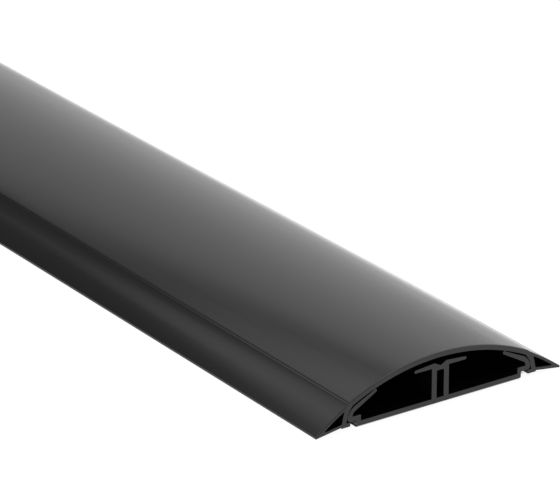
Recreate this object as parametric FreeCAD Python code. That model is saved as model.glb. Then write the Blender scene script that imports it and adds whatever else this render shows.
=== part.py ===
"""Two-compartment floor cable duct: a low domed cover that clips over a base tray.

Both profiles are extrusions along Y. The sections below are drawn for x >= 0, seen from the
-Y end with Z up, and mirrored about the middle plane. Millimetres.
Origin: middle of the length and width, on the floor. The near end is at -Y.
"""
import FreeCAD, Part
import os
from math import hypot, sqrt

os.makedirs("parts", exist_ok=True)

# Driving dimensions
LENGTH = 1000.0           # duct length
WIDTH = 75.0              # toe to toe
HEIGHT = 13.75            # floor to the top of the dome
DOME_RADIUS = 60.8        # outer surface of the dome
DOME_WALL = 1.28
TAPE_THICKNESS = 0.35     # adhesive tape under the base
FLOOR_WALL = 1.26         # floor of the base tray
TAPE_WIDTH = 19.0
TAPE_INSET = 5.0          # from each end of the duct to the tape

# Cover: where the dome stops and the ramp skirt starts
DOME_EDGE_X = 27.35       # end of the dome's outer arc
SKIRT_START = (28.1, 6.61)
TOE_HEIGHT = 0.5          # blunt vertical edge of the skirt
TOE_CHAMFER = 0.06
SKIRT_HEEL_X = 29.9       # inner end of the skirt's sloping floor
SKIRT_HEEL_Z = 1.1

# Cover: the leg and its lip, which hooks under the base's shelf
LIP_END_X = 27.2
LIP_BOTTOM_Z = 0.8
LIP_TOP_Z = 1.87
LEG_FOOT_X = 28.4
LEG_WAIST_X = 28.1

# Base: tray floor, raised edge shelf and clip arm
TRAY_EDGE_X = 25.15       # outer face of the riser
RISER_WALL = 1.12
SHELF_BOTTOM_Z = 1.97
SHELF_TOP_Z = 3.27
CLIP_HEEL_X = 28.02       # widest point of the clip, just inside the leg
CLIP_ARM_ROOT_X = 26.57

# Base: central divider, two uprights with one T-arm each
UPRIGHT_INNER_X = 1.09
UPRIGHT_OUTER_X = 2.6
ARM_BOTTOM_Z = 9.86
ARM_TIP_X = 7.95
CROWN_Z = 11.17           # ridge of the T-arms, each side of the centre groove
CROWN_X = 1.8
CROWN_GROOVE_Z = 10.24
CHANNEL_TOP_Z = 9.04      # top of the closed channel between the uprights

# Base: two shallow locating grooves in the underside, below the uprights
GROOVE_X = 1.85
GROOVE_HALF_WIDTH = 0.65
GROOVE_DEPTH = 0.3

HALF_WIDTH = WIDTH / 2
DOME_CENTRE_Z = HEIGHT - DOME_RADIUS
BASE_BOTTOM_Z = TAPE_THICKNESS
FLOOR_TOP_Z = BASE_BOTTOM_Z + FLOOR_WALL


def on_dome(x, depth=0.0):
    """Point of the dome at x, at a depth below its outer surface."""
    radius = DOME_RADIUS - depth
    return (x, DOME_CENTRE_Z + sqrt(radius ** 2 - x ** 2))


def arc(middle, end):
    """Outline step: a round stretch through the middle point to the end point."""
    return {"middle": middle, "end": end}


def towards(start, goal, distance):
    """Point at a distance from start on the straight line to goal."""
    part = distance / hypot(goal[0] - start[0], goal[1] - start[1])
    return (start[0] + part * (goal[0] - start[0]), start[1] + part * (goal[1] - start[1]))


def end_of(step):
    return step["end"] if isinstance(step, dict) else step[:2]


def round_corners(steps):
    """Replace each corner (x, z, r) between straight runs with an arc of radius r."""
    plain = []
    for index, step in enumerate(steps):
        if isinstance(step, dict) or len(step) == 2:
            plain.append(step)
            continue
        corner, radius = step[:2], step[2]
        before = end_of(steps[index - 1])
        after = end_of(steps[(index + 1) % len(steps)])
        one = towards(corner, before, 1.0)
        two = towards(corner, after, 1.0)
        half_chord = hypot(one[0] - two[0], one[1] - two[1]) / 2
        depth = sqrt(1 - half_chord ** 2)
        setback = radius * depth / half_chord
        inset = radius / half_chord - radius
        bisector = ((one[0] + two[0]) / 2, (one[1] + two[1]) / 2)
        plain.append(towards(corner, before, setback))
        plain.append(arc(towards(corner, bisector, inset), towards(corner, after, setback)))
    return plain


def edges_through(steps, closed=False):
    """Edges along an outline's steps, in the plane of the duct's near end."""
    steps = round_corners(steps)
    if closed:
        steps.append(end_of(steps[0]))
    place = lambda point: FreeCAD.Vector(point[0], -LENGTH / 2, point[1])
    edges = []
    for last, step in zip(steps, steps[1:]):
        start, end = place(end_of(last)), place(end_of(step))
        if isinstance(step, dict):
            edges.append(Part.Arc(start, place(step["middle"]), end).toShape())
        else:
            edges.append(Part.makeLine(start, end))
    return edges


def mirrored(shape):
    return shape.mirror(FreeCAD.Vector(0, 0, 0), FreeCAD.Vector(1, 0, 0))


def extrude(edges):
    """Solid of the duct's full length from the edges of one closed outline."""
    wire = Part.Wire(Part.__sortEdges__(edges))
    return Part.Face(wire).extrude(FreeCAD.Vector(0, LENGTH, 0))


def extrude_both_sides(half_steps):
    """Solid from a half outline that runs from the middle plane back to the middle plane."""
    half = edges_through(half_steps)
    return extrude(half + [mirrored(edge) for edge in half])


def make_cover():
    """Domed cover with a hollow ramp skirt, a leg and an inward lip along each side."""
    half = [
        (0, HEIGHT),
        arc(on_dome(DOME_EDGE_X / 2), on_dome(DOME_EDGE_X)),
        # two small steps with a narrow ledge between them, from the dome down to the skirt
        arc((27.45, 7.165), (27.55, 7.055)),
        (27.93, 6.77),
        arc((28.0, 6.71), (28.06, 6.645)),
        SKIRT_START,
        # skirt surface down to the blunt toe, and its sloping underside
        arc((32.9, 3.69), (HALF_WIDTH, TOE_HEIGHT)),
        (HALF_WIDTH, TOE_CHAMFER),
        (HALF_WIDTH - TOE_CHAMFER, 0),
        (SKIRT_HEEL_X, SKIRT_HEEL_Z, 0.15),
        (SKIRT_HEEL_X - 0.1, LIP_BOTTOM_Z, 0.12),
        # lip, leg and the bend into the dome's inner surface
        (LIP_END_X, LIP_BOTTOM_Z, 0.2),
        (LIP_END_X, LIP_TOP_Z, 0.2),
        (LEG_FOOT_X, LIP_TOP_Z, 0.15),
        (LEG_WAIST_X, 3.1),
        (27.9, 4.0),
        arc((27.28, 5.2), on_dome(26.5, DOME_WALL)),
        arc(on_dome(13.25, DOME_WALL), on_dome(0, DOME_WALL)),
    ]
    skirt_hollow = [
        arc((32.05, 3.37), (34.92, 1.38)),
        (34.6, 1.21),
        (29.75, 1.94, 0.2),
        (29.46, 3.3),
        (28.98, 5.23),
    ]
    hollow = extrude(edges_through(skirt_hollow[-1:] + skirt_hollow))
    cover = extrude_both_sides(half).cut(hollow).cut(mirrored(hollow))
    return cover.removeSplitter()


def make_base():
    """Base tray with raised edge shelves, a springy clip arm each side and a central divider."""
    riser_x = TRAY_EDGE_X - RISER_WALL
    half = [
        (0, BASE_BOTTOM_Z),
        (GROOVE_X - GROOVE_HALF_WIDTH, BASE_BOTTOM_Z),
        arc((GROOVE_X, BASE_BOTTOM_Z + GROOVE_DEPTH), (GROOVE_X + GROOVE_HALF_WIDTH, BASE_BOTTOM_Z)),
        (TRAY_EDGE_X, BASE_BOTTOM_Z, 0.15),
        (TRAY_EDGE_X, SHELF_BOTTOM_Z, 0.3),
        # clip: over the cover's lip, up its leg and along under the dome
        (27.5, SHELF_BOTTOM_Z, 0.1),
        (27.89, 2.45),
        arc((CLIP_HEEL_X, 2.85), (27.92, 3.5)),
        arc((27.21, 4.88), (25.86, 6.06)),
        (20.2, 8.72),
        arc((19.35, 8.68), (19.5, 8.16)),
        (25.72, 4.62),
        arc((26.37, 4.0), (CLIP_ARM_ROOT_X, SHELF_TOP_Z)),
        # shelf, riser and tray floor
        (riser_x, SHELF_TOP_Z, 0.3),
        (riser_x, FLOOR_TOP_Z),
        (UPRIGHT_OUTER_X, FLOOR_TOP_Z),
        # divider: upright, T-arm with a rounded tip, and the groove between the two ridges
        (UPRIGHT_OUTER_X, ARM_BOTTOM_Z),
        (ARM_TIP_X - 0.35, ARM_BOTTOM_Z),
        arc((ARM_TIP_X, 10.25), (ARM_TIP_X - 0.35, 10.7)),
        (CROWN_X, CROWN_Z, 0.4),
        (0, CROWN_GROOVE_Z),
    ]
    channel = [
        (-UPRIGHT_INNER_X, FLOOR_TOP_Z),
        (UPRIGHT_INNER_X, FLOOR_TOP_Z),
        (UPRIGHT_INNER_X, CHANNEL_TOP_Z, 0.3),
        (-UPRIGHT_INNER_X, CHANNEL_TOP_Z, 0.3),
    ]
    base = extrude_both_sides(half).cut(extrude(edges_through(channel, closed=True)))
    return base.removeSplitter()


def make_tape(side):
    """Double-sided tape between the tray and the floor, on one side of the middle."""
    middle_x = side * (GROOVE_X + GROOVE_HALF_WIDTH + TRAY_EDGE_X) / 2
    corner = FreeCAD.Vector(middle_x - TAPE_WIDTH / 2, TAPE_INSET - LENGTH / 2, 0)
    return Part.makeBox(TAPE_WIDTH, LENGTH - 2 * TAPE_INSET, TAPE_THICKNESS, corner)


PARTS = {
    "duct_base": make_base(),
    "duct_cover": make_cover(),
    "adhesive_strip_left": make_tape(-1),
    "adhesive_strip_right": make_tape(1),
}

for node, shape in PARTS.items():
    box = shape.BoundBox
    print(f"{node}: solids {len(shape.Solids)}, faces {len(shape.Faces)}, valid {shape.isValid()},"
          f" section {shape.Volume / box.YLength:.2f} mm2,"
          f" box {box.XLength:.2f} x {box.YLength:.2f} x {box.ZLength:.2f}")
    shape.exportStep(f"parts/{node}.step")
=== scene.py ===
from math import acos, atan2, ceil, cos, hypot, pi, radians, sin, sqrt, tan

import bpy
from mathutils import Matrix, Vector
from mathutils.geometry import delaunay_2d_cdt


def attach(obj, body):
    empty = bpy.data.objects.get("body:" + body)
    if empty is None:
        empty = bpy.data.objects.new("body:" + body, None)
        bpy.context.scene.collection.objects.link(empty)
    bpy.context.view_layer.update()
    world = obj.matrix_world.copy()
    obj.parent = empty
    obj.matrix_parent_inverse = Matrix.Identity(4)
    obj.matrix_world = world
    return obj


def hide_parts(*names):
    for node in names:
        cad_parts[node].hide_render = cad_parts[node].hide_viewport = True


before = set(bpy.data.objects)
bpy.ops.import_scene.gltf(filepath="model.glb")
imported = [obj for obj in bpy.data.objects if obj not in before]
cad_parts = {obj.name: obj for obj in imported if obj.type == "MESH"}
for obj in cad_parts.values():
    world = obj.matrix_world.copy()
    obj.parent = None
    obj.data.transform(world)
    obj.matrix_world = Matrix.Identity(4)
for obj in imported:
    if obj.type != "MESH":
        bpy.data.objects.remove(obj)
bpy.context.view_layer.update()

# The duct's sections are drawn in millimetres, for x >= 0, and mirrored. Objects are in metres.
# +Y runs along the duct from its near end, and +X across it to the right.
MM = 0.001

# Driving dimensions
LENGTH = 1000.0
WIDTH = 75.0              # toe to toe
HEIGHT = 13.75            # floor to the top of the dome
DOME_RADIUS = 60.8        # outer surface of the dome
DOME_WALL = 1.28
FLOOR_WALL = 1.26         # floor of the base tray
TAPE_THICKNESS = 0.35     # adhesive tape under the base
TAPE_WIDTH = 19.0
TAPE_INSET = 5.0          # from each end of the duct to the tape

# Cover: where the dome stops and the ramp skirt starts, and the skirt's blunt toe
DOME_EDGE_X = 27.35
SKIRT_START_X = 28.1
SKIRT_START_Z = 6.66
TOE_HEIGHT = 0.574
TOE_LEAN = 0.1            # the toe's blunt face leans back this much at its top
TOE_CHAMFER = 0.06
SKIRT_HEEL_X = 29.9       # inner end of the skirt's sloping underside
SKIRT_HEEL_Z = 1.1

# Cover: the leg and its lip, which hooks under the base's shelf
LIP_END_X = 27.2
LIP_BOTTOM_Z = 0.8
LIP_TOP_Z = 1.87
LEG_FOOT_X = 28.4
LEG_WAIST_X = 28.1

# Base: tray, raised edge shelf and clip arm
TRAY_EDGE_X = 25.15       # outer face of the riser
RISER_WALL = 1.12
SHELF_BOTTOM_Z = 1.97
SHELF_TOP_Z = 3.27
SHELF_END_X = 27.5
CLIP_HEEL_X = 28.02       # widest point of the clip, just inside the leg
CLIP_ARM_ROOT_X = 26.57

# Base: central divider, two uprights with one T-arm each
UPRIGHT_INNER_X = 1.09
UPRIGHT_OUTER_X = 2.6
ARM_BOTTOM_Z = 9.86
ARM_TIP_X = 7.95
ARM_TIP_ROUND = 0.35      # the T-arm's rounded tip starts this far inside it
CROWN_X = 1.8             # ridge of the T-arms, each side of the centre groove
CROWN_Z = 11.17
CROWN_GROOVE_Z = 10.24
CHANNEL_TOP_Z = 9.04      # top of the closed channel between the uprights

# Base: two shallow locating grooves in the underside
GROOVE_X = 1.85
GROOVE_HALF_WIDTH = 0.65
GROOVE_DEPTH = 0.3

HALF_WIDTH = WIDTH / 2
DOME_CENTRE_Z = HEIGHT - DOME_RADIUS
FLOOR_TOP_Z = TAPE_THICKNESS + FLOOR_WALL
RISER_INNER_X = TRAY_EDGE_X - RISER_WALL
TAPE_LENGTH = LENGTH - 2 * TAPE_INSET
TAPE_MIDDLE_X = (GROOVE_X + GROOVE_HALF_WIDTH + TRAY_EDGE_X) / 2

# Worn and broken edges
EDGE_RADIUS = 0.06        # corners that the die leaves sharp
CUT_RADIUS = 0.05         # broken edge round the sawn ends
WORN_CUT_DEPTH = 0.2      # the same along the cover's outer surface, worn further back:
WORN_CUT_LENGTH = 0.5     # its depth in the plane of the end, and its length along the duct
WORN_CUT_FADE = 0.6       # it dies away over this distance towards the seam and the toe

# How finely curves are divided
ARC_TOLERANCE = 0.002     # the most that an arc's straight pieces cut inside it
ARC_STEP = 0.4            # longest straight piece of an arc
ARC_TURN = radians(14)    # the most that an arc turns in one piece
CORNER_TURN = radians(24)  # the same for a rounded corner
SMOOTH_TURN = radians(3)  # runs that meet at less than this have no corner to round
CUT_PIECES = 5            # pieces in the broken edge round the sawn ends

# Material slots of the two extrusions, and of the tape
EXTRUDED_SLOT, SAWN_SLOT = 0, 1
FOAM_SLOT, LINER_SLOT = 0, 1


# ---------------------------------------------------------------- outlines

def on_dome(x, depth=0.0):
    """Point of the dome at x, at a depth below its outer surface."""
    return (x, DOME_CENTRE_Z + sqrt((DOME_RADIUS - depth) ** 2 - x ** 2))


def arc(middle, end):
    """Outline step: a round stretch through the middle point to the end point."""
    return {"middle": middle, "end": end}


# Steps of each outline: a point (x, z), a corner (x, z, radius) or an arc
COVER_HALF = [
    (0, HEIGHT),
    arc(on_dome(DOME_EDGE_X / 2), on_dome(DOME_EDGE_X)),
    # two small steps with a narrow ledge between them, from the dome down to the skirt
    arc((27.43, 7.18), (27.5, 7.09)),
    (27.96, 6.79),
    arc((28.01, 6.745), (28.06, 6.69)),
    (SKIRT_START_X, SKIRT_START_Z),
    # skirt surface down to the blunt toe, and its sloping underside
    arc((32.9, 3.69), (HALF_WIDTH - TOE_LEAN, TOE_HEIGHT)),
    (HALF_WIDTH, TOE_CHAMFER),
    (HALF_WIDTH - TOE_CHAMFER, 0),
    (SKIRT_HEEL_X, SKIRT_HEEL_Z, 0.15),
    (SKIRT_HEEL_X - 0.1, LIP_BOTTOM_Z, 0.12),
    # lip, leg and the bend into the dome's inner surface
    (LIP_END_X, LIP_BOTTOM_Z, 0.2),
    (LIP_END_X, LIP_TOP_Z, 0.2),
    (LEG_FOOT_X, LIP_TOP_Z, 0.15),
    (LEG_WAIST_X, 3.1),
    (27.9, 4.0),
    arc((27.28, 5.2), on_dome(26.5, DOME_WALL)),
    arc(on_dome(13.25, DOME_WALL), on_dome(0, DOME_WALL)),
]
SKIRT_HOLLOW = [
    (28.98, 5.23),
    arc((32.05, 3.37), (34.92, 1.38)),
    (34.6, 1.21),
    (29.75, 1.94, 0.2),
    (29.46, 3.3),
]
BASE_HALF = [
    (0, TAPE_THICKNESS),
    (GROOVE_X - GROOVE_HALF_WIDTH, TAPE_THICKNESS),
    arc((GROOVE_X, TAPE_THICKNESS + GROOVE_DEPTH), (GROOVE_X + GROOVE_HALF_WIDTH, TAPE_THICKNESS)),
    (TRAY_EDGE_X, TAPE_THICKNESS, 0.15),
    (TRAY_EDGE_X, SHELF_BOTTOM_Z, 0.3),
    # clip: over the cover's lip, up its leg and along under the dome
    (SHELF_END_X, SHELF_BOTTOM_Z, 0.1),
    (27.89, 2.45),
    arc((CLIP_HEEL_X, 2.85), (27.92, 3.5)),
    arc((27.21, 4.88), (25.86, 6.06)),
    (20.2, 8.72),
    arc((19.35, 8.68), (19.5, 8.16)),
    (25.72, 4.62),
    arc((26.37, 4.0), (CLIP_ARM_ROOT_X, SHELF_TOP_Z)),
    # shelf, riser and tray floor
    (RISER_INNER_X, SHELF_TOP_Z, 0.3),
    (RISER_INNER_X, FLOOR_TOP_Z),
    (UPRIGHT_OUTER_X, FLOOR_TOP_Z),
    # divider: upright, T-arm with a rounded tip, and the groove between the two ridges
    (UPRIGHT_OUTER_X, ARM_BOTTOM_Z),
    (ARM_TIP_X - ARM_TIP_ROUND, ARM_BOTTOM_Z),
    arc((ARM_TIP_X, 10.25), (ARM_TIP_X - ARM_TIP_ROUND, 10.7)),
    (CROWN_X, CROWN_Z, 0.4),
    (0, CROWN_GROOVE_Z),
]
CHANNEL = [
    (-UPRIGHT_INNER_X, FLOOR_TOP_Z),
    (UPRIGHT_INNER_X, FLOOR_TOP_Z),
    (UPRIGHT_INNER_X, CHANNEL_TOP_Z, 0.3),
    (-UPRIGHT_INNER_X, CHANNEL_TOP_Z, 0.3),
]


def chain(steps):
    """Corner points, arc middle points (None for a straight run) and corner radii of an outline."""
    points, middles, radii = [], [], []
    for step in steps:
        if isinstance(step, dict):
            points.append(step["end"])
            middles.append(step["middle"])
            radii.append(None)
        else:
            points.append(step[:2])
            middles.append(None)
            radii.append(step[2] if len(step) > 2 else None)
    return points, middles[1:], radii


def flipped(point):
    """The point on the other side of the middle plane, or None for None."""
    return point and (-point[0], point[1])


def both_sides(steps):
    """Closed outline from a half outline that starts and ends on the middle plane."""
    points, middles, radii = chain(steps)
    points = points + [flipped(p) for p in reversed(points[1:-1])]
    middles = middles + [flipped(m) for m in reversed(middles)]
    radii = radii + list(reversed(radii[1:-1]))
    return points, middles, radii


def closed(steps, flip=False):
    """Closed outline from steps that go all the way round."""
    points, middles, radii = chain(steps)
    if flip:
        points, middles = [flipped(p) for p in points], [flipped(m) for m in middles]
    return points, middles + [None], radii


def unit(dx, dz):
    """Direction of a vector, with length 1."""
    size = hypot(dx, dz)
    return (dx / size, dz / size)


def turn(vector, angle):
    """The vector turned to the left by an angle."""
    c, s = cos(angle), sin(angle)
    return (c * vector[0] - s * vector[1], s * vector[0] + c * vector[1])


def turn_between(one, two):
    """Angle from one direction to another, positive to the left."""
    return atan2(one[0] * two[1] - one[1] * two[0], one[0] * two[0] + one[1] * two[1])


def sampled(start, middle, end):
    """Points of one run with the direction of travel at each: [((x, z), (dx, dz)), ...]."""
    if middle is None:
        way = unit(end[0] - start[0], end[1] - start[1])
        return [(start, way), (end, way)]
    ax, ay = middle[0] - start[0], middle[1] - start[1]
    bx, by = end[0] - start[0], end[1] - start[1]
    cross = 2 * (ax * by - ay * bx)
    ux = (by * (ax * ax + ay * ay) - ay * (bx * bx + by * by)) / cross
    uy = (ax * (bx * bx + by * by) - bx * (ax * ax + ay * ay)) / cross
    radius = hypot(ux, uy)
    centre = (start[0] + ux, start[1] + uy)
    first = atan2(-uy, -ux)
    sweep = atan2(end[1] - centre[1], end[0] - centre[0]) - first
    side = 1 if cross > 0 else -1
    sweep = sweep % (2 * pi) if side > 0 else -((-sweep) % (2 * pi))
    step = min(2 * acos(1 - ARC_TOLERANCE / radius), ARC_TURN)
    count = max(2, ceil(abs(sweep) / step), ceil(abs(sweep) * radius / ARC_STEP))
    made = []
    for i in range(count + 1):
        angle = first + sweep * i / count
        spoke = (cos(angle), sin(angle))
        place = (centre[0] + radius * spoke[0], centre[1] + radius * spoke[1])
        made.append((place, (-side * spoke[1], side * spoke[0])))
    return made


def run_length(run):
    return sum(hypot(b[0][0] - a[0][0], b[0][1] - a[0][1]) for a, b in zip(run, run[1:]))


def rounded_corner(corner, one, two, radius, room):
    """Arc between two directions of travel, and its reach: how far from the corner it starts.

    The reach is at most room, and a corner with too little room gets a smaller radius."""
    bend = turn_between(one, two)
    reach = min(radius * tan(abs(bend) / 2), room)
    radius = reach / tan(abs(bend) / 2)
    side = 1 if bend > 0 else -1
    begin = (corner[0] - reach * one[0], corner[1] - reach * one[1])
    centre = (begin[0] - side * radius * one[1], begin[1] + side * radius * one[0])
    pieces = max(2, ceil(abs(bend) / CORNER_TURN))
    made = []
    for i in range(pieces + 1):
        angle = bend * i / pieces
        spoke = turn((begin[0] - centre[0], begin[1] - centre[1]), angle)
        made.append(((centre[0] + spoke[0], centre[1] + spoke[1]), turn(one, angle)))
    return made, reach


def clear_of(run, corner, reach):
    """The points of a run that are further from a rounded corner than its reach."""
    margin = 1.05
    return [p for p in run if hypot(p[0][0] - corner[0], p[0][1] - corner[1]) > margin * reach]


def outline(points, middles, radii, clockwise=False):
    """Closed loop of (point, normal away from the material), with every corner rounded a little.

    It runs anticlockwise round the material, or clockwise round a hole in it."""
    share = 0.45    # of a run's length that a rounded corner may take
    count = len(points)
    area = sum(points[i][0] * points[(i + 1) % count][1] - points[(i + 1) % count][0] * points[i][1]
               for i in range(count))
    if (area > 0) == clockwise:
        points, radii = list(reversed(points)), list(reversed(radii))
        middles = list(reversed(middles[:-1])) + [middles[-1]]
    runs = [sampled(points[i], middles[i], points[(i + 1) % count]) for i in range(count)]
    lengths = [run_length(run) for run in runs]
    corners = []
    for i, run in enumerate(runs):
        following = runs[(i + 1) % count]
        corner, one = run[-1]
        two = following[0][1]
        if abs(turn_between(one, two)) < SMOOTH_TURN:
            run[-1] = following[0] = (corner, unit(one[0] + two[0], one[1] + two[1]))
            corners.append(None)
            continue
        room = share * min(lengths[i], lengths[(i + 1) % count])
        radius = radii[(i + 1) % count] or EDGE_RADIUS
        fillet, reach = rounded_corner(corner, one, two, radius, room)
        corners.append((fillet, corner, reach))
    made = []
    for i, run in enumerate(runs):
        before, after = corners[i - 1], corners[i]
        if before:
            run = clear_of(run, *before[1:])
        if after:
            run = clear_of(run, *after[1:])
            made += run + after[0]
        else:
            made += run[:-1]
    return [(place, (way[1], -way[0])) for place, way in made]


# ---------------------------------------------------------------- the cover's normals and ends

# How much more than its outline the skirt's surface leans, in degrees, by distance from the
# middle: it draws in below the seam, flattens, and rolls over to the toe.
SKIRT_LEAN = ((28.1, 6.4), (29.2, 3.2), (30.1, 0), (31.7, -4.3), (34.0, 0), (36.2, 2.4), (37.6, 2.3))


def smooth_step(t):
    """0 to 1 as t goes from 0 to 1, level at both ends."""
    t = min(max(t, 0), 1)
    return t * t * (3 - 2 * t)


def between(knots, x):
    """Smooth curve through knots of (place, value)."""
    for (x1, v1), (x2, v2) in zip(knots, knots[1:]):
        if x <= x2:
            return v1 + (v2 - v1) * smooth_step((x - x1) / (x2 - x1))
    return knots[-1][1]


def dress_cover(loop):
    """Cover outline with the skirt's lean in its normals, and the size of the ends' broken edge."""
    facing_up = 0.6         # least upward part of a normal on the outer surface
    dome_depth = 0.02       # points this far below the dome's outer surface still count as on it
    skirt_reach = 0.01      # and points this far inside the skirt's start as on the skirt
    made = []
    for (x, z), (nx, nz) in loop:
        out = abs(x)
        dome_z = on_dome(min(out, DOME_EDGE_X))[1]
        on_top = nz > facing_up and (out > SKIRT_START_X or z > dome_z - dome_depth)
        worn = 0
        if on_top:
            corner = min(abs(out - DOME_EDGE_X), abs(out - SKIRT_START_X), abs(out - HALF_WIDTH))
            worn = smooth_step(corner / WORN_CUT_FADE)
        cut = (CUT_RADIUS + (WORN_CUT_DEPTH - CUT_RADIUS) * worn,
               CUT_RADIUS + (WORN_CUT_LENGTH - CUT_RADIUS) * worn)
        if on_top and out > SKIRT_START_X - skirt_reach:
            side = 1 if x > 0 else -1
            nx, nz = turn((nx, nz), -side * radians(between(SKIRT_LEAN, out)))
        made.append(((x, z), (nx, nz), cut))
    return made


def with_cut(loop):
    """Outline with the plain broken edge at the ends: (depth, length) at each point."""
    return [(place, normal, (CUT_RADIUS, CUT_RADIUS)) for place, normal in loop]


# ---------------------------------------------------------------- meshes

def mesh_object(name, vertices, faces, normals=None):
    """Object in the scene. It is smooth if it has normals, one for each vertex, or else flat."""
    mesh = bpy.data.meshes.new(name)
    mesh.from_pydata(vertices, [], faces)
    mesh.validate()
    mesh.polygons.foreach_set("use_smooth", [bool(normals)] * len(mesh.polygons))
    if normals:
        mesh.normals_split_custom_set_from_vertices(normals)
    mesh.update()
    made = bpy.data.objects.new(name, mesh)
    bpy.context.scene.collection.objects.link(made)
    return made


def inside(point, flat, edges):
    """Whether a point is in the material: it has an odd number of outline edges on its right."""
    crossings = 0
    for a, b in edges:
        (x1, z1), (x2, z2) = flat[a], flat[b]
        if (z1 > point[1]) != (z2 > point[1]):
            if x1 + (point[1] - z1) / (z2 - z1) * (x2 - x1) > point[0]:
                crossings += 1
    return crossings % 2 == 1


def end_faces(vertices, rings):
    """Triangles that fill the end of an extrusion, between the rings of vertex numbers round it."""
    flat, edges, index = [], [], []
    for ring in rings:
        first = len(flat)
        index += ring
        flat += [Vector((vertices[corner][0] / MM, vertices[corner][2] / MM)) for corner in ring]
        edges += [(first + i, first + (i + 1) % len(ring)) for i in range(len(ring))]
    whole_hull, tolerance = 0, 1e-7
    points, _, triangles, origins, _, _ = delaunay_2d_cdt(flat, edges, [], whole_hull, tolerance)
    made = []
    for triangle in triangles:
        middle = sum((points[k] for k in triangle), Vector((0, 0))) / 3
        if inside(middle, flat, edges):
            made.append([index[origins[k][0]] for k in triangle])
    return made


def extruded(name, loops):
    """Solid of the duct's length. loops[0] is the outer outline and the others are holes."""
    quarter = [i * pi / (2 * CUT_PIECES) for i in range(CUT_PIECES + 1)]
    stations = [(-1, a) for a in quarter] + [(1, a) for a in reversed(quarter)]
    vertices, normals, faces, slots = [], [], [], []
    starts = []
    for loop in loops:
        starts.append(len(vertices))
        for end, angle in stations:
            for (x, z), (nx, nz), (depth, length) in loop:
                inset = depth * (1 - sin(angle))
                y = end * (LENGTH / 2 - length * (1 - cos(angle)))
                vertices.append(((x - inset * nx) * MM, y * MM, (z - inset * nz) * MM))
                side, along = unit(length * sin(angle), depth * cos(angle))
                normals.append((nx * side, end * along, nz * side))
        size = len(loop)
        for ring in range(len(stations) - 1):
            for i in range(size):
                a = starts[-1] + ring * size + i
                b = starts[-1] + ring * size + (i + 1) % size
                faces.append((a, a + size, b + size, b))
                slots.append(EXTRUDED_SLOT if ring == CUT_PIECES else SAWN_SLOT)
    for end, ring in ((-1, 0), (1, len(stations) - 1)):
        rings = [[start + ring * len(loop) + i for i in range(len(loop))]
                 for start, loop in zip(starts, loops)]
        for corners in end_faces(vertices, rings):
            faces.append(tuple(corners if end < 0 else reversed(corners)))
            slots.append(SAWN_SLOT)
    made = mesh_object(name, vertices, faces, normals)
    made.data.polygons.foreach_set("material_index", slots)
    return made


def tape_strip(name, side):
    """Foam tape on a slightly wider paper liner, with edges that wander and ends cut by hand."""
    stations = 160
    end_gap = 0.3           # room at the ends for the slant of the cut
    end_slant = 0.25        # each edge is this much longer or shorter than the middle
    liner_margin = 0.08     # from the strip's full width to the liner's edge
    foam_margin = 0.2       # and to the foam's edge
    liner_top = 0.07
    waist_z = 0.2           # the foam's edges are pinched in at this height
    vertices, faces, slots = [], [], []
    for i in range(stations + 1):
        along = 2 * i / stations - 1
        y = along * (TAPE_LENGTH / 2 - end_gap)
        # the edges wander by up to 0.07 mm, differently on the two strips
        wander = 0.04 * sin(9.3 * along + side) + 0.03 * sin(31.7 * along - 2 * side)
        liner_x = TAPE_WIDTH / 2 - liner_margin + wander
        foam_x = TAPE_WIDTH / 2 - foam_margin + wander / 2
        waist_x = foam_x - 0.05 - 0.02 * sin(54.1 * along)
        section = [(-liner_x, 0), (liner_x, 0), (liner_x, liner_top), (foam_x, liner_top),
                   (waist_x, waist_z), (foam_x, TAPE_THICKNESS), (-foam_x, TAPE_THICKNESS),
                   (-waist_x, waist_z), (-foam_x, liner_top), (-liner_x, liner_top)]
        for x, z in section:
            slant = end_slant * side * x / liner_x
            vertices.append(((side * TAPE_MIDDLE_X + x) * MM, (y + slant) * MM, z * MM))
    size = len(section)
    liner_sides = (0, 1, 2, 8, 9)
    for i in range(stations):
        for j in range(size):
            a, b = i * size + j, i * size + (j + 1) % size
            faces.append((a, a + size, b + size, b))
            slots.append(LINER_SLOT if j in liner_sides else FOAM_SLOT)
    last = stations * size
    ends = (((0, 1, 2, 3, 8, 9), LINER_SLOT), ((8, 3, 4, 7), FOAM_SLOT), ((7, 4, 5, 6), FOAM_SLOT))
    for corners, slot in ends:
        faces.append(corners)
        faces.append(tuple(last + j for j in reversed(corners)))
        slots += [slot, slot]
    made = mesh_object(name, vertices, faces)
    made.data.polygons.foreach_set("material_index", slots)
    return made


# ---------------------------------------------------------------- node helpers

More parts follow.
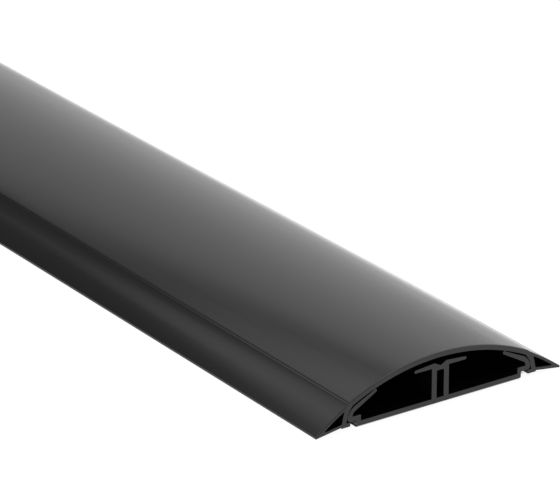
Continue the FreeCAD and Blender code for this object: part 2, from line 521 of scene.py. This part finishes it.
class Nodes:
    """Short calls for building a node tree."""

    def __init__(self, tree):
        self.tree = tree
        tree.nodes.clear()

    def add(self, kind, inputs=None, **settings):
        node = self.tree.nodes.new(kind)
        for key, value in settings.items():
            setattr(node, key, value)
        for key, value in (inputs or {}).items():
            if isinstance(value, bpy.types.NodeSocket):
                self.tree.links.new(value, node.inputs[key])
            else:
                node.inputs[key].default_value = value
        return node

    def place(self):
        """Where the shaded point is on its object, in metres."""
        return self.add("ShaderNodeTexCoord").outputs["Object"]

    def split(self, vector):
        """The x, y and z of a vector."""
        return self.add("ShaderNodeSeparateXYZ", {0: vector}).outputs

    def math(self, operation, a, b=0.0):
        return self.add("ShaderNodeMath", {0: a, 1: b}, operation=operation).outputs[0]

    def mix(self, a, b, share):
        """a where the share is 0, b where it is 1."""
        return self.add("ShaderNodeMix", {0: share, 2: a, 3: b}).outputs[0]

    def spread(self, value, low, high, to_low, to_high, smooth=False):
        """Map a value from one range to another, clamped."""
        return self.add("ShaderNodeMapRange", {"Value": value, "From Min": low, "From Max": high,
                                               "To Min": to_low, "To Max": to_high},
                        interpolation_type="SMOOTHSTEP" if smooth else "LINEAR").outputs["Result"]

    def noise(self, vector, scale, detail=2.0, roughness=0.5):
        return self.add("ShaderNodeTexNoise", {"Vector": vector, "Scale": scale, "Detail": detail,
                                               "Roughness": roughness}).outputs["Fac"]

    def stretched(self, vector, scale, turned=(0, 0, 0)):
        """Coordinates for a pattern that is drawn out along the axes with a small scale."""
        return self.add("ShaderNodeMapping", {"Vector": vector, "Scale": scale,
                                              "Rotation": turned}).outputs[0]

    def ramp(self, value, stops):
        """Brightness by value, through stops of (value, brightness)."""
        node = self.add("ShaderNodeValToRGB", {"Fac": value})
        elements = node.color_ramp.elements
        elements[0].position, elements[1].position = stops[0][0], stops[-1][0]
        for place, _ in stops[1:-1]:
            elements.new(place)
        for element, (_, level) in zip(elements, stops):
            element.color = (level, level, level, 1)
        return node.outputs["Color"]

    def colour(self, red, green, blue):
        return self.add("ShaderNodeCombineColor", {"Red": red, "Green": green,
                                                   "Blue": blue}).outputs[0]

    def grey(self, level):
        return self.colour(level, level, level)

    def surface(self, colour, roughness, height, distance, gloss=0.5):
        """Principled surface. The distance is how high its bump really is, in metres."""
        bump = self.add("ShaderNodeBump", {"Height": height, "Strength": 1.0, "Distance": distance})
        shader = self.add("ShaderNodeBsdfPrincipled",
                          {"Base Color": colour, "Roughness": roughness, "IOR": 1.5,
                           "Specular IOR Level": gloss, "Normal": bump.outputs[0]})
        self.add("ShaderNodeOutputMaterial", {"Surface": shader.outputs[0]})


def material(name):
    made = bpy.data.materials.new(name)
    made.use_nodes = True
    return made, Nodes(made.node_tree)


# ---------------------------------------------------------------- materials

def extruded_plastic():
    """Near-black satin plastic: lines that the die draws along the length, fine grain, light rubs."""
    made, n = material("duct_plastic_extruded")
    place = n.place()
    lines = n.noise(n.stretched(place, (1, 0.004, 1)), 1400, 3, 0.6)
    broad_lines = n.noise(n.stretched(place, (1, 0.01, 1)), 260, 2)
    grain = n.noise(place, 5200, 2)
    cloud = n.noise(n.stretched(place, (1, 0.35, 1)), 22, 3)
    # rubs are sparse short streaks, a little off the length, and they come in patches
    rub = n.noise(n.stretched(place, (1, 0.12, 1), (0, 0, radians(9))), 900, 4, 0.7)
    rub = n.math("MULTIPLY", n.spread(rub, 0.63, 0.74, 0, 1), n.spread(cloud, 0.5, 0.66, 0, 1))
    level = n.math("ADD", n.spread(cloud, 0.3, 0.7, 0.0028, 0.0038),
                   n.math("MULTIPLY", rub, 0.0025))
    rough = n.math("ADD", n.spread(lines, 0.3, 0.7, -0.01, 0.01),
                   n.spread(cloud, 0.3, 0.7, 0.13, 0.15))
    rough = n.math("ADD", rough, n.math("MULTIPLY", rub, 0.06))
    height = n.math("ADD", n.math("MULTIPLY", lines, 0.35), n.math("MULTIPLY", broad_lines, 0.45))
    height = n.math("ADD", height, n.math("MULTIPLY", grain, 0.2))
    # the fine grain hides part of the gloss at a glancing angle
    glancing = n.add("ShaderNodeLayerWeight", {"Blend": 0.5}).outputs["Facing"]
    gloss = n.spread(glancing, 0.76, 0.83, 0.5, 0.18)
    n.surface(n.grey(level), rough, height, 0.0000035, gloss)
    return made


def sawn_plastic():
    """The same plastic where a saw has cut it: matt, with fine slanting saw marks."""
    made, n = material("duct_plastic_sawn")
    place = n.place()
    marks = n.noise(n.stretched(place, (0.05, 1, 1), (0, radians(24), 0)), 2600, 3, 0.6)
    deep = n.noise(n.stretched(place, (0.03, 1, 1), (0, radians(20), 0)), 700, 2)
    grain = n.noise(place, 4200, 3)
    level = n.math("ADD", n.spread(marks, 0.3, 0.7, 0.005, 0.007),
                   n.spread(grain, 0.4, 0.75, 0, 0.002))
    rough = n.spread(marks, 0.3, 0.7, 0.3, 0.42)
    height = n.math("ADD", n.math("MULTIPLY", marks, 0.6), n.math("MULTIPLY", deep, 0.4))
    n.surface(n.grey(level), rough, height, 0.000004)
    return made


def tape_foam():
    """Pale closed-cell foam of the double-sided tape."""
    made, n = material("tape_foam")
    place = n.place()
    cells = n.add("ShaderNodeTexVoronoi", {"Vector": place, "Scale": 6500.0},
                  feature="DISTANCE_TO_EDGE").outputs["Distance"]
    walls = n.spread(cells, 0, 0.12, 1, 0)
    cloud = n.noise(n.stretched(place, (1, 0.3, 1)), 60, 3)
    level = n.math("ADD", n.spread(cloud, 0.3, 0.7, 0.5, 0.6), n.math("MULTIPLY", walls, 0.08))
    height = n.math("ADD", walls, n.math("MULTIPLY", n.noise(place, 900, 2), 0.8))
    n.surface(n.grey(level), n.spread(cells, 0, 0.3, 0.6, 0.85), height, 0.00002)
    return made


def tape_liner():
    """Release liner of the tape: smooth waxed paper with long fibres and a slight cockle."""
    made, n = material("tape_liner")
    place = n.place()
    fibres = n.noise(n.stretched(place, (1, 0.12, 1)), 2400, 4, 0.65)
    cloud = n.noise(place, 120, 3)
    cockle = n.noise(n.stretched(place, (1, 0.5, 1)), 45, 2)
    level = n.math("ADD", n.spread(fibres, 0.3, 0.7, 0.56, 0.64), n.spread(cloud, 0.3, 0.7, 0, 0.05))
    cream = n.colour(level, n.math("MULTIPLY", level, 0.97), n.math("MULTIPLY", level, 0.87))
    height = n.math("ADD", n.math("MULTIPLY", fibres, 0.1), cockle)
    n.surface(cream, n.spread(cloud, 0.3, 0.7, 0.32, 0.48), height, 0.00008)
    return made


# ---------------------------------------------------------------- duct

def make_cover():
    """Domed cover with a hollow ramp skirt along each side."""
    hollows = [with_cut(outline(*closed(SKIRT_HOLLOW, flip=flip), clockwise=True))
               for flip in (False, True)]
    return extruded("cover_shell", [dress_cover(outline(*both_sides(COVER_HALF)))] + hollows)


def make_base():
    """Base tray with clip arms, and a divider that has a closed channel in it."""
    return extruded("base_tray", [with_cut(outline(*both_sides(BASE_HALF))),
                                  with_cut(outline(*closed(CHANNEL), clockwise=True))])


plastic = extruded_plastic()
sawn = sawn_plastic()
foam = tape_foam()
liner = tape_liner()

for piece, node, body in ((make_cover(), "duct_cover", "cover"), (make_base(), "duct_base", "base")):
    piece.data.materials.append(plastic)
    piece.data.materials.append(sawn)
    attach(piece, body)
    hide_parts(node)

for side, word in ((-1, "left"), (1, "right")):
    strip = tape_strip("tape_" + word, side)
    strip.data.materials.append(foam)
    strip.data.materials.append(liner)
    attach(strip, "base")
    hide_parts("adhesive_strip_" + word)


# ---------------------------------------------------------------- floor

FLOOR_HALF_SIZE = 30.0    # metres
FLOOR_DROP = 0.03         # millimetres below the duct
PLAIN_GLOW = 0.94         # of the floor to the left of the duct, and between its skirts
# The stronger glow on the right starts under the skirt and grows towards the back. It follows
# y - GLOW_LINE_SLOPE x: FLOOR_GLOW takes -1 m of that as 0, and 0 m as 1.
RIGHT_GLOW_START = (0.032, 0.045)     # metres from the middle
GLOW_LINE_SLOPE = 3.3
FLOOR_GLOW = [(0.0, 0.9), (0.36, 0.9), (0.41, 1.2), (0.437, 1.5), (0.458, 1.9), (0.48, 2.4),
              (0.5, 3.1), (0.53, 4.2), (1.0, 4.2)]
# Where the glow fades out under the base, in metres in from the duct's ends: the fade paints the
# base's contact shadow on the floor
TRAY_SHADOW_FADE = (0.0002, 0.0007)
SHELF_SHADOW_FADE = (0.002, 0.0038)
# and how far out from the middle the painted shadow of the tray, and then of the shelf, stops shading
# the floor
TRAY_SHADE_EDGE = (0.0251, 0.0253)
SHELF_SHADE_EDGE = (0.0275, 0.0285)


def painted_shade_under_base(n, x, y):
    """The share of the floor's glow that is left: none under the base, all of it elsewhere. Taking
    the glow out there paints the base's contact shadow on the floor.
    """
    across = n.math("ABSOLUTE", x)
    depth = n.math("SUBTRACT", LENGTH / 2 * MM, n.math("ABSOLUTE", y))
    tray = n.spread(depth, *TRAY_SHADOW_FADE, 1, 0)
    shelf = n.spread(depth, *SHELF_SHADOW_FADE, 1, 0)
    under = n.mix(tray, shelf, n.spread(across, *TRAY_SHADE_EDGE, 0, 1))
    return n.mix(under, 1.0, n.spread(across, *SHELF_SHADE_EDGE, 0, 1))


def make_floor():
    """Pale light table: it glows, so that it stays white right up to the duct. The glow is
    stronger beside and behind the duct, on the right, and fades out under the base, where that fade
    is a painted contact shadow of the base."""
    size, z = FLOOR_HALF_SIZE, -FLOOR_DROP * MM
    floor = mesh_object("floor", [(-size, -size, z), (size, -size, z), (size, size, z),
                                  (-size, size, z)], [(0, 1, 2, 3)])
    made, n = material("pale_floor")
    place = n.place()
    x, y, _ = n.split(place)
    tone = n.spread(n.noise(place, 900, 3), 0.3, 0.7, 0.12, 0.14)
    diffuse = n.add("ShaderNodeBsdfDiffuse", {"Color": n.grey(tone)})
    behind = n.math("SUBTRACT", y, n.math("MULTIPLY", x, GLOW_LINE_SLOPE))
    strong = n.ramp(n.spread(behind, -1.0, 0.0, 0, 1), FLOOR_GLOW)
    strength = n.mix(PLAIN_GLOW, strong, n.spread(x, *RIGHT_GLOW_START, 0, 1))
    # the glow is taken out under the base: painted contact shadow of the base on the floor
    strength = n.math("MULTIPLY", strength, painted_shade_under_base(n, x, y))
    glow = n.add("ShaderNodeEmission", {"Color": n.grey(1.0), "Strength": strength})
    both = n.add("ShaderNodeAddShader", {0: diffuse.outputs[0], 1: glow.outputs[0]})
    n.add("ShaderNodeOutputMaterial", {"Surface": both.outputs[0]})
    floor.data.materials.append(made)


# ---------------------------------------------------------------- light

# Brightness of the studio's parts
OVERHEAD_LIGHT = 1.25
OVERHEAD_LEFT_LOSS = 0.22     # the overhead panel is this much dimmer on its left
BACK_LIGHT = (1.0, 0.5)       # of the back panel, on its left and on its right
BACK_LEFT_LOSS = 0.1          # it is this much dimmer at its left edge
BACK_FADE = (radians(35.5), radians(54.5))    # from one to the other, to the right of +Y
BACK_LEFT_FADE = (0, radians(12))
GAP_LIGHT = 0.05              # between the back panel and the overhead panel
LEFT_LIGHT = 0.215            # of the wall on the left
FRONT_LIGHT = (0.55, 0.2)     # of the wall in front, low down and high up
FRONT_FADE = (0.45, 0.6)      # from one to the other, by the z of the direction

# Edges of the panels and walls, each a plane through the duct: (a, b, c) for a x + b y + c z > 0
# on its inside, and half the width over which the edge is soft
BACK_TOP = ((0.13, 0.79, -1), 0.02)
BACK_LEFT = ((1, -0.052, 0.09), 0.05)
FRONT_HALF = ((0, -1, 0), 0.2)
OVERHEAD_BACK = ((-0.1, -0.858, 1), 0.012)
OVERHEAD_FRONT = ((0.8, 2.2, 1), 0.15)


def light_studio():
    """Soft white studio: a panel overhead, a panel behind on the right, and dim walls elsewhere."""
    world = bpy.data.worlds.new("studio")
    world.use_nodes = True
    bpy.context.scene.world = world
    n = Nodes(world.node_tree)
    way = n.add("ShaderNodeTexCoord").outputs["Generated"]
    x, y, z = n.split(way)

    def within(edge, bulge=0.0):
        """1 on the inside of a panel's edge, 0 outside it. The bulge moves the edge outwards."""
        factors, soft = edge
        terms = [n.math("MULTIPLY", axis, k) for axis, k in zip((x, y, z), factors)]
        total = n.math("ADD", n.math("ADD", terms[0], terms[1]), n.math("ADD", terms[2], bulge))
        return n.spread(total, -soft, soft, 0, 1, smooth=True)

    azimuth = n.math("ARCTAN2", x, y)
    panel = n.math("SUBTRACT", n.spread(azimuth, *BACK_FADE, *BACK_LIGHT, smooth=True),
                   n.spread(azimuth, *BACK_LEFT_FADE, BACK_LEFT_LOSS, 0))
    back = n.mix(GAP_LIGHT, panel, within(BACK_TOP))
    back = n.mix(LEFT_LIGHT, back, within(BACK_LEFT))
    front = n.spread(z, *FRONT_FADE, *FRONT_LIGHT)
    low = n.mix(back, front, within(FRONT_HALF))
    # just left of the middle the overhead panel's back edge dips a little
    left = n.spread(x, 0, -0.07, 0, 1, smooth=True)
    far_left = n.spread(x, -0.1, -0.25, 0, 1, smooth=True)
    bulge = n.math("SUBTRACT", n.math("MULTIPLY", left, 0.02), n.math("MULTIPLY", far_left, 0.027))
    over = n.math("MULTIPLY", within(OVERHEAD_BACK, bulge), within(OVERHEAD_FRONT))
    overhead = n.math("SUBTRACT", OVERHEAD_LIGHT, n.math("MULTIPLY", left, OVERHEAD_LEFT_LOSS))
    level = n.mix(low, overhead, over)
    sky = n.add("ShaderNodeBackground", {"Color": n.grey(1.0), "Strength": level})
    n.add("ShaderNodeOutputWorld", {"Surface": sky.outputs[0]})


# ---------------------------------------------------------------- camera

CAMERA_PLACE = (-0.58274, -1.27709, 0.45236)          # metres
CAMERA_DIRECTION = (0.52181, 0.75837, -0.39064)
CAMERA_SENSOR = 36        # width in millimetres
CAMERA_LENS = 278.13      # millimetres
CAMERA_REACH = (0.05, 100)    # nearest and furthest that it sees, in metres


def place_camera():
    camera = bpy.data.objects.new("camera", bpy.data.cameras.new("camera"))
    bpy.context.scene.collection.objects.link(camera)
    camera.location = CAMERA_PLACE
    camera.rotation_euler = Vector(CAMERA_DIRECTION).to_track_quat("-Z", "Y").to_euler()
    camera.data.sensor_width = CAMERA_SENSOR
    camera.data.lens = CAMERA_LENS
    camera.data.clip_start, camera.data.clip_end = CAMERA_REACH
    bpy.context.scene.camera = camera


make_floor()
light_studio()
place_camera()
bpy.context.scene.view_settings.view_transform = "Standard"
